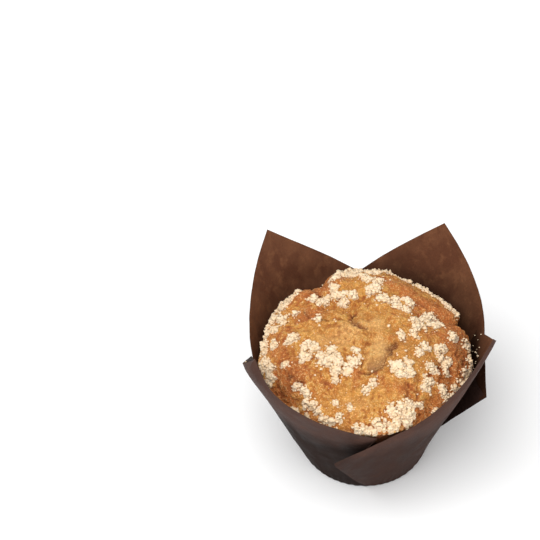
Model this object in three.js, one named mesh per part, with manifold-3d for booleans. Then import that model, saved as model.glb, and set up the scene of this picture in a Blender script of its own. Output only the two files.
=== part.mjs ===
// A crumble-topped muffin in its tulip paper case.
//
// The case is one square sheet of greaseproof paper pressed into a cup: a round flat base, a wall
// that leans out, four corners that stand up as pointed petals, and a folded pleat between each two
// petals, where the spare paper goes. The muffin fills the cup and rises over it as a domed crust
// with heaps of pale crumble baked on.
//
// Millimetres, +Z up. The origin is the middle of the base, on the surface that the case stands on.
// Azimuths are degrees from +X, anticlockwise seen from above.

import * as THREE from 'three';
import { mergeVertices } from 'three/addons/utils/BufferGeometryUtils.js';
import Module from 'manifold-3d';

const wasm = await Module();
wasm.setup();

// ---------------------------------------------------------------- driving dimensions

// The sheet and the cup that it is pressed into
const SHEET_SIDE = 150;
const BASE_RADIUS = 25;
const BASE_BEND = 2.4;
const PAPER = 0.6;
const LAYER_STEP = 0.8;
const LAYERS_PART_OVER = 14;
const WALL_START = 1.2;

// Lean of the wall from upright, in degrees: the mean, and how it changes round the cup
const MEAN_LEAN = 22;
const LEAN_WAVES = [
  { turns: 1, cos: -1.0, sin: 3.0 },
  { turns: 2, cos: -0.4, sin: 1.5 },
];
const WALL_HOLLOW = 0.7;

// The four petals, anticlockwise. tip: azimuth of the point. turn: how far the sheet's corner is
// turned in the wall, which makes one cut edge steeper than the other. rise: extra length up to the
// tip. curl: how far the tip bends in, from the share bends of the way up. leaves: azimuth where the
// flap parts from the cup. outer, inner: length along the cut edges from the tip to the flap's fold
// and to the hidden fold. sag: how far the hidden fold is drawn down.
const PETALS = [
  { tip: -23.5, turn: 2.1, rise: 1.0, curl: 2.4, bends: 0.6, leaves: -70, outer: 81, inner: 45, sag: 0 },
  { tip: 56.5, turn: 4.5, rise: 0.2, curl: 3.4, bends: 0.6, leaves: 7, outer: 74, inner: 46, sag: 0 },
  { tip: 132.6, turn: -2.4, rise: 0.2, curl: 0.5, bends: 0.6, leaves: 104, outer: 74, inner: 57, sag: 0 },
  { tip: 211.5, turn: -9.2, rise: 0.4, curl: 3.8, bends: 0.76, leaves: 198, outer: 66, inner: 56, sag: 7.5 },
];
const FIRST_PLEAT = -90;
const SAG_STEEPNESS = 6;
const PLEAT_DIP = 0.12;

// The muffin: its side stands this far inside the cup's middle surface, its bottom just above the
// paper, and its crust closes over from the rim, which stands out over the side
const MUFFIN_GAP = 1.6;
const MUFFIN_FLOOR = 1.1;
const CRUST_RADIUS = 42.5;
const RIM_HEIGHT = 50.5;
const RIM_OVERHANG = 1.6;
const DOME_RISE = 15;
const DOME_ROUND = 2.4;
const DOME_SHOULDER = 0.72;

// Lumps that the rising batter left in the crust, and a dip: place, half width, height
const LUMPS = [
  { at: [-3, 26], across: [12, 8], height: 3.6 },
  { at: [-20, 32], across: [6, 6], height: -3.0 },
  { at: [-4, -8], across: [12, 10], height: 1.8 },
  { at: [17, -2], across: [9, 8], height: 1.2 },
  { at: [-24, 4], across: [9, 11], height: 1.0 },
];

// Where the rim is drawn in: narrow notches and long flat stretches
const RIM_DENTS = [
  { azimuth: 3, halfWidth: 13, depth: 2.6 },
  { azimuth: 19.5, halfWidth: 5, depth: 5.0 },
  { azimuth: 33, halfWidth: 9, depth: 1.2 },
  { azimuth: 52, halfWidth: 16, depth: 3.0 },
  { azimuth: 121, halfWidth: 8, depth: 5.5 },
  { azimuth: 160, halfWidth: 28, depth: 2.2 },
];

// Uneven swells of the crust, as waves across it, each turned from the last and shorter and lower
const SWELLS = 7;
const LONGEST_SWELL = 34;
const SWELL_SHRINKS = 0.78;
const SWELL_STEEPNESS = 0.022;

// The larger heaps of crumble, in plan: x, y and width
const HEAPS = [
  [-28, 21, 5], [-33, 14, 6], [-37, 6, 6], [-21, 16, 5], [-29, -4, 6], [-23, -8, 7], [-38, -11, 8],
  [-31, -14, 5], [-26, -25, 6], [-22, -29, 6], [-12, -13, 9], [-10, -18, 7], [-3, -27, 5],
  [11, -19, 9], [18, -9, 7], [26, -9, 9], [31, -3, 5], [36, -3, 5], [36, -11, 6], [28, -17, 5],
  [20, -24, 6], [27, -22, 6], [17, -30, 6], [10, -32, 9], [1, -37, 6], [8, -37, 6], [25, -29, 5],
  [-2, 24, 9], [7, 26, 7], [-10, 14, 8], [3, 13, 7], [10, 11, 6], [23, 7, 8], [15, 14, 5],
  [17, 3, 6], [12, -3, 5], [26, 22, 6], [17, 27, 6], [33, 15, 5], [-12, -31, 4],
];

// The grains of a heap: their mean width, the square millimetres of a heap's width squared for each
// grain, and ranges as shares of the width: how large, how uneven and how far above the crust
const GRAIN_WIDTH = 4.4;
const GRAIN_CROWDING = 12;
const GRAIN_SIZES = [0.75, 1.3];
const GRAIN_SWELLS = [0.75, 1.25];
const GRAIN_STANDS = [0.04, 0.26];
const GRAIN_FLATNESS = 0.85;
const CRUMBLE_SEED = 4211;

const RAD = Math.PI / 180;
const GOLDEN_TURN = 137.5;
const TIP_RISE = SHEET_SIDE / Math.SQRT2 - BASE_RADIUS;
const MEAN_SLOPE = Math.sin(MEAN_LEAN * RAD);
const CONE = BASE_RADIUS / MEAN_SLOPE;

// ---------------------------------------------------------------- small helpers

function seededRandom(seed) {
  let state = seed;
  return () => {
    state = (state * 48271) % 2147483647;
    return state / 2147483647;
  };
}

const mix = (a, b, share) => a + (b - a) * share;

function smooth(share) {
  const x = Math.min(1, Math.max(0, share));
  return x * x * (3 - 2 * x);
}

const bump = (distance, halfWidth) => Math.exp(-((distance / halfWidth) ** 2));

// ---------------------------------------------------------------- the cup's wall

function lean(azimuth) {
  const wave = (w) => w.cos * Math.cos(w.turns * azimuth * RAD) + w.sin * Math.sin(w.turns * azimuth * RAD);
  return (MEAN_LEAN + LEAN_WAVES.reduce((sum, w) => sum + wave(w), 0)) * RAD;
}

// Radius and height of the wall at a length up it from the base
function wallRadius(azimuth, up) {
  const share = Math.min(1, Math.max(0, up / TIP_RISE));
  return BASE_RADIUS + up * Math.sin(lean(azimuth)) - WALL_HOLLOW * Math.sin(Math.PI * share);
}

const wallHeight = (azimuth, up) => WALL_START + up * Math.cos(lean(azimuth));

const cupRadius = (azimuth, z) => wallRadius(azimuth, (z - WALL_START) / Math.cos(lean(azimuth)));

// A point of one petal. x and y are its place on the unrolled wall, x along the tip's own line from
// the point where the cone of the wall would end. Clockwise of the line where its flap leaves the
// cup, the paper goes straight on.
function petalPoint(petal, x, y, layer) {
  const reach = Math.hypot(x, y);
  const turn = Math.atan2(y, x);
  const leaves = (petal.leaves - petal.tip) * RAD * MEAN_SLOPE;
  const past = Math.max(0, leaves - turn);
  const up = reach * Math.cos(past) - CONE;
  const aside = reach * Math.sin(past);
  const azimuth = past > 0 ? petal.leaves : petal.tip + turn / RAD / MEAN_SLOPE;
  const curl = petal.curl * (Math.max(0, up / TIP_RISE - petal.bends) / (1 - petal.bends)) ** 2;
  const apart = layer * LAYER_STEP * smooth(up / LAYERS_PART_OVER);
  const radius = wallRadius(azimuth, up) - curl + apart;
  const a = azimuth * RAD;
  return new THREE.Vector3(
    radius * Math.cos(a) + aside * Math.sin(a),
    radius * Math.sin(a) - aside * Math.cos(a),
    wallHeight(azimuth, up));
}

// A petal as a surface: across runs 0 to 1 from the outer fold, by the tip at a half, to the inner
// fold, and up runs 0 to 1 from the base to the cut edge
function petalSheet(index) {
  const petal = PETALS[index];
  const tipShare = petal.outer / (petal.outer + petal.inner);
  return (across, up) => {
    const side = across < 0.5 ? -1 : 1;
    const share = Math.abs(across - 0.5) * 2;
    const length = share * (side < 0 ? petal.outer : petal.inner);
    const angle = (45 - petal.turn * side) * RAD;
    const sag = side < 0 ? 0 : petal.sag * share ** SAG_STEEPNESS;
    const topX = CONE + TIP_RISE + petal.rise - sag - length * Math.cos(angle);
    const topY = side * length * Math.sin(angle);
    const round = side < 0 ? tipShare * (1 - share) : tipShare + (1 - tipShare) * share;
    const azimuth = FIRST_PLEAT + 90 * (index + round);
    const turn = (azimuth - petal.tip) * RAD * MEAN_SLOPE;
    const footX = CONE * Math.cos(turn);
    const footY = CONE * Math.sin(turn);
    const layer = mix(1, -1, smooth(round));
    const foot = petalPoint(petal, footX, footY, layer);
    const rim = new THREE.Vector3(
      BASE_RADIUS * Math.cos(azimuth * RAD), BASE_RADIUS * Math.sin(azimuth * RAD), WALL_START);
    const point = petalPoint(petal, mix(footX, topX, up), mix(footY, topY, up), layer);
    return point.addScaledVector(rim.sub(foot), (1 - up) ** 3);
  };
}

// The hidden layer of a pleat: from a petal's outer fold back to the inner fold of the next petal
// clockwise. Its cut edge dips between the folds.
function pleatSheet(index) {
  const outer = petalSheet(index);
  const inner = petalSheet((index + PETALS.length - 1) % PETALS.length);
  return (across, up) => {
    const dipped = up * (1 - PLEAT_DIP * 4 * across * (1 - across));
    return outer(0, dipped).lerp(inner(1, dipped), across);
  };
}

// ---------------------------------------------------------------- solids from surfaces

// Corners this close are one corner. Welding goes by the cells of a grid, so a second one, moved
// by half a cell, takes the pairs that the first one's borders part.
const WELD = 2e-3;
const GRID_MOVES = [0, WELD / 2];

function toSolid(geometry) {
  geometry.deleteAttribute('normal');
  geometry.deleteAttribute('uv');
  const merged = mergeVertices(geometry, WELD);
  return new wasm.Manifold(new wasm.Mesh({
    numProp: 3,
    vertProperties: new Float32Array(merged.attributes.position.array),
    triVerts: new Uint32Array(merged.index.array),
  }));
}

function toGeometry(solid) {
  const mesh = solid.getMesh();
  const geometry = new THREE.BufferGeometry();
  geometry.setAttribute('position', new THREE.BufferAttribute(mesh.vertProperties, 3));
  geometry.setIndex(new THREE.BufferAttribute(mesh.triVerts, 1));
  geometry.computeVertexNormals();
  return geometry;
}

function fromPoints(points, faces) {
  const geometry = new THREE.BufferGeometry();
  const numbers = points.flatMap((point) => point.toArray());
  geometry.setAttribute('position', new THREE.Float32BufferAttribute(numbers, 3));
  geometry.setIndex(faces);
  return toSolid(geometry);
}

// The outer skin alone: hollows that joining has sealed are filled, and loose scraps dropped
// Welding can pinch off another scrap, so this repeats until nothing changes.
function wholeBody(solid) {
  let body = solid;
  let corners = 0;
  do {
    corners = body.numVert();
    for (const move of GRID_MOVES) {
      const welded = toSolid(toGeometry(body).translate(move, move, move));
      const bodies = welded.decompose();
      const largest = bodies.reduce((best, next) => (next.volume() > best.volume() ? next : best));
      body = toSolid(toGeometry(largest).translate(-move, -move, -move));
    }
  } while (body.numVert() !== corners);
  return body;
}

// A sheet of paper, half its thickness to each side of a surface
function thickSheet(surface, columns, rows) {
  const points = [];
  const faces = [];
  const near = 1e-3;
  const perSide = (columns + 1) * (rows + 1);
  const at = (column, row, side) => side * perSide + row * (columns + 1) + column;
  const quad = (a, b, c, d) => faces.push(a, b, c, a, c, d);
  for (const side of [-1, 1]) {
    for (let row = 0; row <= rows; row++) {
      for (let column = 0; column <= columns; column++) {
        const u = column / columns;
        const v = row / rows;
        const along = surface(Math.min(1, u + near), v).sub(surface(Math.max(0, u - near), v));
        const upward = surface(u, Math.min(1, v + near)).sub(surface(u, Math.max(0, v - near)));
        const normal = along.cross(upward).normalize();
        points.push(surface(u, v).addScaledVector(normal, side * PAPER / 2));
      }
    }
  }
  for (let row = 0; row < rows; row++) {
    for (let column = 0; column < columns; column++) {
      quad(at(column, row, 1), at(column + 1, row, 1), at(column + 1, row + 1, 1), at(column, row + 1, 1));
      quad(at(column, row, 0), at(column, row + 1, 0), at(column + 1, row + 1, 0), at(column + 1, row, 0));
    }
    quad(at(0, row, 0), at(0, row, 1), at(0, row + 1, 1), at(0, row + 1, 0));
    quad(at(columns, row, 1), at(columns, row, 0), at(columns, row + 1, 0), at(columns, row + 1, 1));
  }
  for (let column = 0; column < columns; column++) {
    quad(at(column, 0, 0), at(column + 1, 0, 0), at(column + 1, 0, 1), at(column, 0, 1));
    quad(at(column, rows, 1), at(column + 1, rows, 1), at(column + 1, rows, 0), at(column, rows, 0));
  }
  return fromPoints(points, faces);
}

// ---------------------------------------------------------------- the paper case

const PETAL_GRID = [18, 6];
const PLEAT_GRID = [3, 6];
const BASE_SIDES = 40;
const BEND_STEPS = 3;

// The flat base with its rounded rim, which the wall stands in
function baseDish() {
  const flat = BASE_RADIUS - BASE_BEND;
  const arc = (radius, step) => {
    const angle = mix(0, 90 - MEAN_LEAN, step / BEND_STEPS) * RAD;
    return new THREE.Vector2(flat + radius * Math.sin(angle), BASE_BEND - radius * Math.cos(angle));
  };
  const profile = [new THREE.Vector2(0, 0)];
  for (let step = 0; step <= BEND_STEPS; step++) profile.push(arc(BASE_BEND, step));
  for (let step = BEND_STEPS; step >= 0; step--) profile.push(arc(BASE_BEND - PAPER, step));
  profile.push(new THREE.Vector2(0, PAPER));
  return toSolid(new THREE.LatheGeometry(profile, BASE_SIDES).rotateX(Math.PI / 2));
}

function paperCase() {
  let solid = baseDish();
  for (const index of PETALS.keys()) {
    solid = solid.add(thickSheet(petalSheet(index), ...PETAL_GRID));
    solid = solid.add(thickSheet(pleatSheet(index), ...PLEAT_GRID));
  }
  return toGeometry(wholeBody(solid));
}

// ---------------------------------------------------------------- the muffin

const MUFFIN_SIDES = 60;
const CRUST_RINGS = 17;
const SIDE_RINGS = 4;
const SIDE_DROP = 5;
const RIM_THICKNESS = 1.5;
const ROOM_RINGS = 6;
const ROOM_TOP = 74;
const ROOM_SPARE = 0.3;

function rimRadius(azimuth) {
  let radius = Math.min(CRUST_RADIUS, cupRadius(azimuth, RIM_HEIGHT) - MUFFIN_GAP);
  for (const dent of RIM_DENTS) {
    const away = ((azimuth - dent.azimuth + 540) % 360) - 180;
    radius -= dent.depth * bump(away, dent.halfWidth);
  }
  return radius;
}

function crustSwell(x, y) {
  let z = 0;
  for (let wave = 0; wave < SWELLS; wave++) {
    const turn = wave * GOLDEN_TURN * RAD;
    const length = LONGEST_SWELL * SWELL_SHRINKS ** wave;
    const along = x * Math.cos(turn) + y * Math.sin(turn);
    z += length * SWELL_STEEPNESS * Math.sin(2 * Math.PI * along / length + wave);
  }
  return z;
}

function crustHeight(x, y) {
  const azimuth = Math.atan2(y, x) / RAD;
  const share = Math.min(1, Math.hypot(x, y) / rimRadius(azimuth));
  let z = RIM_HEIGHT + DOME_RISE * (1 - share ** DOME_ROUND) ** DOME_SHOULDER;
  for (const lump of LUMPS) {
    z += lump.height * bump(x - lump.at[0], lump.across[0]) * bump(y - lump.at[1], lump.across[1]);
  }
  return z + crustSwell(x, y) * smooth((1 - share) * 6);
}

// A closed body of rings round the axis, from a point at the bottom to a point at the top
function ringBody(rings, bottom, top, sides) {
  const points = [bottom];
  const faces = [];
  const at = (ring, side) => 1 + ring * sides + (side % sides);
  for (const ring of rings) {
    for (let side = 0; side < sides; side++) points.push(ring(360 * side / sides));
  }
  points.push(top);
  for (let side = 0; side < sides; side++) {
    faces.push(0, at(0, side + 1), at(0, side));
    faces.push(points.length - 1, at(rings.length - 1, side), at(rings.length - 1, side + 1));
    for (let ring = 0; ring + 1 < rings.length; ring++) {
      faces.push(at(ring, side), at(ring, side + 1), at(ring + 1, side + 1));
      faces.push(at(ring, side), at(ring + 1, side + 1), at(ring + 1, side));
    }
  }
  return fromPoints(points, faces);
}

const polar = (radius, azimuth, z) => new THREE.Vector3(
  radius * Math.cos(azimuth * RAD), radius * Math.sin(azimuth * RAD), z);

function muffinBody() {
  const rings = [(azimuth) => polar(BASE_RADIUS - BASE_BEND - 1, azimuth, MUFFIN_FLOOR)];
  const sideRing = (z, inside) => (azimuth) => polar(
    Math.min(rimRadius(azimuth) - inside, cupRadius(azimuth, z) - MUFFIN_GAP), azimuth, z);
  for (let step = 0; step < SIDE_RINGS; step++) {
    const z = mix(MUFFIN_FLOOR + BASE_BEND, RIM_HEIGHT - SIDE_DROP, step / (SIDE_RINGS - 1));
    rings.push(sideRing(z, RIM_OVERHANG));
  }
  rings.push(sideRing(RIM_HEIGHT - RIM_THICKNESS, 0));
  for (let step = 0; step < CRUST_RINGS; step++) {
    const share = Math.cos(Math.PI / 2 * step / CRUST_RINGS);
    rings.push((azimuth) => {
      const radius = share * rimRadius(azimuth);
      return polar(radius, azimuth, crustHeight(radius * Math.cos(azimuth * RAD), radius * Math.sin(azimuth * RAD)));
    });
  }
  const middle = new THREE.Vector3(0, 0, MUFFIN_FLOOR);
  return ringBody(rings, middle, new THREE.Vector3(0, 0, crustHeight(0, 0)), MUFFIN_SIDES);
}

// The room inside the paper, which the crumble keeps to
function roomInCup() {
  const rings = [];
  for (let step = 0; step <= ROOM_RINGS; step++) {
    const z = mix(MUFFIN_FLOOR + BASE_BEND, ROOM_TOP, step / ROOM_RINGS);
    rings.push((azimuth) => polar(cupRadius(azimuth, z) - MUFFIN_GAP + ROOM_SPARE, azimuth, z));
  }
  const bottom = new THREE.Vector3(0, 0, 0);
  return ringBody(rings, bottom, new THREE.Vector3(0, 0, ROOM_TOP + 1), MUFFIN_SIDES);
}

// One grain of crumble: an uneven lump, a little flattened and half sunk into the crust
function grain(x, y, width, draw) {
  const shape = new THREE.IcosahedronGeometry(width / 2, 0);
  shape.deleteAttribute('normal');
  shape.deleteAttribute('uv');
  const lump = mergeVertices(shape, WELD);
  const corner = lump.attributes.position;
  for (let i = 0; i < corner.count; i++) {
    const swell = mix(...GRAIN_SWELLS, draw());
    corner.setXYZ(i, corner.getX(i) * swell, corner.getY(i) * swell, corner.getZ(i) * swell * GRAIN_FLATNESS);
  }
  lump.rotateZ(draw() * 2 * Math.PI);
  lump.translate(x, y, crustHeight(x, y) + width * mix(...GRAIN_STANDS, draw()));
  return toSolid(lump);
}

function crumble() {
  const draw = seededRandom(CRUMBLE_SEED);
  const grains = [];
  for (const [x, y, width] of HEAPS) {
    const count = Math.max(2, Math.round(width * width / GRAIN_CROWDING));
    for (let n = 0; n < count; n++) {
      const angle = n * GOLDEN_TURN * RAD + draw();
      const out = (width - GRAIN_WIDTH) / 2 * Math.sqrt((n + 0.3) / count);
      const size = GRAIN_WIDTH * mix(...GRAIN_SIZES, draw());
      grains.push(grain(x + out * Math.cos(angle), y + out * Math.sin(angle), size, draw));
    }
  }
  return grains;
}

function muffin() {
  let heaps = null;
  for (const lump of crumble()) heaps = heaps ? heaps.add(lump) : lump;
  return toGeometry(wholeBody(muffinBody().add(heaps.intersect(roomInCup()))));
}

// ---------------------------------------------------------------- the model

function piece(name, geometry, material) {
  const mesh = new THREE.Mesh(geometry, new THREE.MeshStandardMaterial(material));
  mesh.name = name;
  return mesh;
}

const group = new THREE.Group();
group.add(piece('paper_case', paperCase(), { color: 0x4a382f, roughness: 0.8, metalness: 0 }));
group.add(piece('muffin', muffin(), { color: 0xd9a25c, roughness: 0.9, metalness: 0 }));

export default group;
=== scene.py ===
# %% [markdown]
# # A crumble-topped muffin in its tulip case
#
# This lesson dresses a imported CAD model. The model is the frame: it says where everything is, in
# metres, with +Z up. Its paper is thicker than real paper and its crust is plain, so both pieces
# are modelled again here, in the same place: a thin folded sheet, a baked crust with its cracks
# and browning, and the loose crumble that lies on it.

# %% Load the frame
import math
import random

import bpy
from mathutils import Matrix, Vector, kdtree, noise


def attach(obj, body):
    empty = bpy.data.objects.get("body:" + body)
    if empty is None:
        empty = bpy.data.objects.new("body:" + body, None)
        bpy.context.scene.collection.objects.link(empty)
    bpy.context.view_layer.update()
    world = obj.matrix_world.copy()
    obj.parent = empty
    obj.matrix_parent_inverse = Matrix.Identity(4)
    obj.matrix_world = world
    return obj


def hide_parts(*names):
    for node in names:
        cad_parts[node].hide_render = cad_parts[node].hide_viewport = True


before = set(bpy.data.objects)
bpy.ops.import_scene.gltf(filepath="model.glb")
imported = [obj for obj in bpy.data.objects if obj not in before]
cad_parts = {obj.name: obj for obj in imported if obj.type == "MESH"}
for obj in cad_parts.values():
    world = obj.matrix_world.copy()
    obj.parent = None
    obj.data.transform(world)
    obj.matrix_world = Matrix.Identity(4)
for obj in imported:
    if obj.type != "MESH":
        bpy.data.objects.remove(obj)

scene = bpy.context.scene
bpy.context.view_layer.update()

# %% [markdown]
# ## Camera
#
# The muffin stands a little right of the view's middle and below it, and is seen from about 49
# degrees above. With a long lens from two thirds of a metre away, the near paper points look
# hardly larger than the far ones.

# %% Place the camera
CAMERA_AT = Vector((-0.0372, -0.4177, 0.5158))
CAMERA_TILT = math.radians(44.81)
CAMERA_SENSOR = 36.0
CAMERA_LENS = 109.63
CAMERA_NEAREST = 0.01

camera_data = bpy.data.cameras.new("camera")
camera_data.sensor_width = CAMERA_SENSOR
camera_data.lens = CAMERA_LENS
camera_data.clip_start = CAMERA_NEAREST
camera = bpy.data.objects.new("camera", camera_data)
camera.location = CAMERA_AT
camera.rotation_euler = (CAMERA_TILT, 0.0, 0.0)
scene.collection.objects.link(camera)
scene.camera = camera
print("camera", tuple(CAMERA_AT), "lens", CAMERA_LENS)

# %% [markdown]
# ## Small helpers
#
# Shapes are worked out in millimetres, as a baker or a box maker would measure them, and come to
# metres as the last step. Noise gives the unevenness that baking leaves; Blender's own noise is
# the same on every run, and each random draw below starts from a fixed seed.

# %% Numbers and noise
MM = 0.001
DEGREE = math.pi / 180
OCTAVE_FALL = 0.9
OCTAVE_STEP = 2.0


def mix(low, high, share):
    return low + (high - low) * share


def clamp(value):
    return min(1.0, max(0.0, value))


def smooth(share):
    x = clamp(share)
    return x * x * (3 - 2 * x)


def bump(distance, half_width):
    return math.exp(-((distance / half_width) ** 2))


def unevenness(x, y, z, size, octaves=1):
    """Smooth noise from about -1 to 1 at a point in millimetres, with lumps of the given size."""
    point = Vector((x / size, y / size, z / size))
    if octaves == 1:
        return noise.noise(point)
    return noise.fractal(point, OCTAVE_FALL, OCTAVE_STEP, octaves)


print("unevenness at one place", round(unevenness(10, 20, 30, 7), 3))


# %% Selecting and moving vertices as by hand
def deselect_all():
    for each in bpy.context.selected_objects:
        each.select_set(False)


def make_active(thing):
    deselect_all()
    thing.select_set(True)
    bpy.context.view_layer.objects.active = thing


def added_grid(name, columns, rows):
    """A flat grid of faces from -1 to 1 each way, to be shaped into a sheet."""
    deselect_all()
    bpy.ops.mesh.primitive_grid_add(x_subdivisions=columns, y_subdivisions=rows, size=2)
    grid = bpy.context.object
    grid.name = name
    return grid


def apply_modifier(thing, kind, **settings):
    make_active(thing)
    modifier = thing.modifiers.new(kind.title(), kind)
    for name, value in settings.items():
        setattr(modifier, name, value)
    bpy.ops.object.modifier_apply(modifier=modifier.name)


def store(thing, name, values):
    """Keep one number for each vertex, for the materials to read."""
    thing.data.attributes.new(name, "FLOAT", "POINT").data.foreach_set("value", values)


def triangles(thing):
    return sum(len(face.vertices) - 2 for face in thing.data.polygons)


# %% [markdown]
# ## Shader maths
#
# A material is a tree of nodes. The class below wraps a socket, so that a sum such as
# `0.3 + 0.5 * mask` adds its Math nodes by itself. Every other node comes from one method, which
# sets what kind of node it is first, and then its sockets. Wiring each tree by hand works as well,
# but a formula is easier to read and to change.

# %% A socket to reckon with
class Wire:
    """An output of a node, which can be reckoned with as a number."""

    def __init__(self, maker, socket):
        self.maker = maker
        self.socket = socket

    def _math(self, operation, first, second):
        return self.maker.node("ShaderNodeMath", {"operation": operation}, {0: first, 1: second})

    def __add__(self, other):
        return self._math("ADD", self, other)

    def __radd__(self, other):
        return self._math("ADD", other, self)

    def __sub__(self, other):
        return self._math("SUBTRACT", self, other)

    def __rsub__(self, other):
        return self._math("SUBTRACT", other, self)

    def __mul__(self, other):
        return self._math("MULTIPLY", self, other)

    def __rmul__(self, other):
        return self._math("MULTIPLY", other, self)

    def between(self, low, high):
        """0 below low, 1 above high, eased between."""
        settings = {"interpolation_type": "SMOOTHSTEP"}
        values = {"Value": self, "From Min": low, "From Max": high}
        return self.maker.node("ShaderNodeMapRange", settings, values, output="Result")


# %% The nodes of a material
class Finish:
    """Makes and wires the nodes of one material."""

    def __init__(self, name):
        self.material = bpy.data.materials.new(name)
        self.material.use_nodes = True
        self.tree = self.material.node_tree
        self.shader = self.tree.nodes["Principled BSDF"]

    def plug(self, socket, value):
        if isinstance(value, Wire):
            self.tree.links.new(value.socket, socket)
        else:
            socket.default_value = value

    def node(self, kind, settings=None, values=None, output=None):
        made = self.tree.nodes.new(kind)
        for name, value in (settings or {}).items():
            setattr(made, name, value)
        for key, value in (values or {}).items():
            self.plug(self.found(made.inputs, key), value)
        return Wire(self, self.found(made.outputs, output or 0))

    @staticmethod
    def found(sockets, key):
        """A socket by its number, its identifier or its name."""
        if isinstance(key, int):
            return sockets[key]
        return next(each for each in sockets if key in (each.identifier, each.name))

    def attribute(self, name):
        return self.node("ShaderNodeAttribute", {"attribute_name": name}, output="Fac")

    def place(self):
        return self.node("ShaderNodeTexCoord", output="Object")

    def speckle(self, size, detail=2.0, roughness=0.5, stretch=(1, 1, 1)):
        """Noise from 0 to 1 with lumps of a size in millimetres."""
        scale = tuple(part / MM for part in stretch)
        spread = self.node("ShaderNodeMapping", None, {"Vector": self.place(), "Scale": scale})
        values = {"Vector": spread, "Scale": 1 / size, "Detail": detail, "Roughness": roughness}
        return self.node("ShaderNodeTexNoise", None, values, output="Fac")

    def blend(self, share, first, second):
        values = {"Factor_Float": share, "A_Color": first, "B_Color": second}
        return self.node("ShaderNodeMix", {"data_type": "RGBA"}, values, output="Result_Color")

    def shade(self, colour, amount):
        """A colour made lighter or darker by a number round 1."""
        values = {0: colour, "Scale": amount}
        return self.node("ShaderNodeVectorMath", {"operation": "SCALE"}, values, output="Vector")

    def set(self, **values):
        for name, value in values.items():
            self.plug(self.shader.inputs[name.replace("_", " ")], value)

    def relief(self, height, distance):
        """Bump of a height from 0 to 1, over a distance in metres."""
        values = {"Height": height, "Distance": distance}
        self.plug(self.shader.inputs["Normal"], self.node("ShaderNodeBump", None, values))


# %% Screen colours
def linear(red, green, blue):
    """A screen colour, 0 to 255 a channel, as the linear colour that shaders use."""
    parts = []
    for part in (red, green, blue):
        share = part / 255
        parts.append(share / 12.92 if share <= 0.04045 else ((share + 0.055) / 1.055) ** 2.4)
    return (*parts, 1.0)


print("middle grey is", round(linear(128, 128, 128)[0], 3))


# %% [markdown]
# ## The cup that the paper is pressed into
#
# A tulip case is one square sheet. A former presses its middle into a cup with a flat base and a
# leaning wall. The wall is a cone, which paper can bend into without stretching, so every point
# of a petal is found on the unrolled cone first and then wrapped round. The four corners of the
# sheet end up as the four points, and the paper that the cone has no room for goes into a pleat
# between each two of them. A cloth simulation could press a square into a cup too, but paper folds
# where cloth drapes, and here each fold has to lie at a known place.

# %% Dimensions of the case, in millimetres and degrees
SHEET_SIDE = 150
BASE_RADIUS = 25
# The wall starts above the base's bend, leans out, more on one side, and is a little hollow
WALL_START = 1.2
MEAN_LEAN = 22
LEAN_WAVES = ((1, -1.0, 3.0), (2, -0.4, 1.5))
WALL_HOLLOW = 0.7
# The layers of a pleat come to lie one step apart over the lowest part of the wall
LAYER_STEP = 0.8
LAYERS_PART_OVER = 14
FIRST_PLEAT = -90
TIP_RISE = SHEET_SIDE / math.sqrt(2) - BASE_RADIUS
MEAN_SLOPE = math.sin(MEAN_LEAN * DEGREE)
CONE = BASE_RADIUS / MEAN_SLOPE

# Each petal: the azimuth of its point, how far the sheet's corner is turned, its extra rise, how
# far the point curls in and from which share of the way up, the azimuth where its flap leaves the
# cup, the lengths of its two cut edges, down to the flap's fold and down to the hidden fold, how
# far the hidden fold is drawn down, how far the cut edge rolls in, and over which share of the
# outer and of the inner edge it does.
PETALS = (
    dict(tip=-23.5, turn=2.1, rise=1.0, curl=2.4, bends=0.6, leaves=-70, outer=81, inner=45, sag=0,
         rolls=1.1, rolled=(3, 0.2)),
    dict(tip=56.5, turn=4.5, rise=0.2, curl=3.4, bends=0.6, leaves=7, outer=74, inner=46, sag=0,
         rolls=0.3, rolled=(1, 0.3)),
    dict(tip=132.6, turn=-2.4, rise=0.2, curl=0.5, bends=0.6, leaves=104, outer=74, inner=57, sag=0,
         rolls=0.2, rolled=(0.5, 0.3)),
    dict(tip=211.5, turn=-9.2, rise=0.4, curl=3.8, bends=0.76, leaves=198, outer=66, inner=56,
         sag=7.5, rolls=2.2, rolled=(0.4, 0.3)),
)
SAG_STEEPNESS = 6
PLEAT_DIP = 0.12
ROLL_WIDTH = 4.5
print("sheet", SHEET_SIDE, "mm wide, base to point", round(TIP_RISE, 1), "mm")


# %% The wall of the cup
def lean(azimuth):
    total = MEAN_LEAN
    for turns, cos_part, sin_part in LEAN_WAVES:
        angle = turns * azimuth * DEGREE
        total += cos_part * math.cos(angle) + sin_part * math.sin(angle)
    return total * DEGREE


def wall_radius(azimuth, up):
    hollow = WALL_HOLLOW * math.sin(math.pi * clamp(up / TIP_RISE))
    return BASE_RADIUS + up * math.sin(lean(azimuth)) - hollow


def wall_height(azimuth, up):
    return WALL_START + up * math.cos(lean(azimuth))


def cup_radius(azimuth, z):
    return wall_radius(azimuth, (z - WALL_START) / math.cos(lean(azimuth)))


def polar(radius, azimuth, z):
    return Vector((radius * math.cos(azimuth * DEGREE), radius * math.sin(azimuth * DEGREE), z))


print("cup radius 50 mm up", round(cup_radius(0, 50), 1), "mm")
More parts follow.
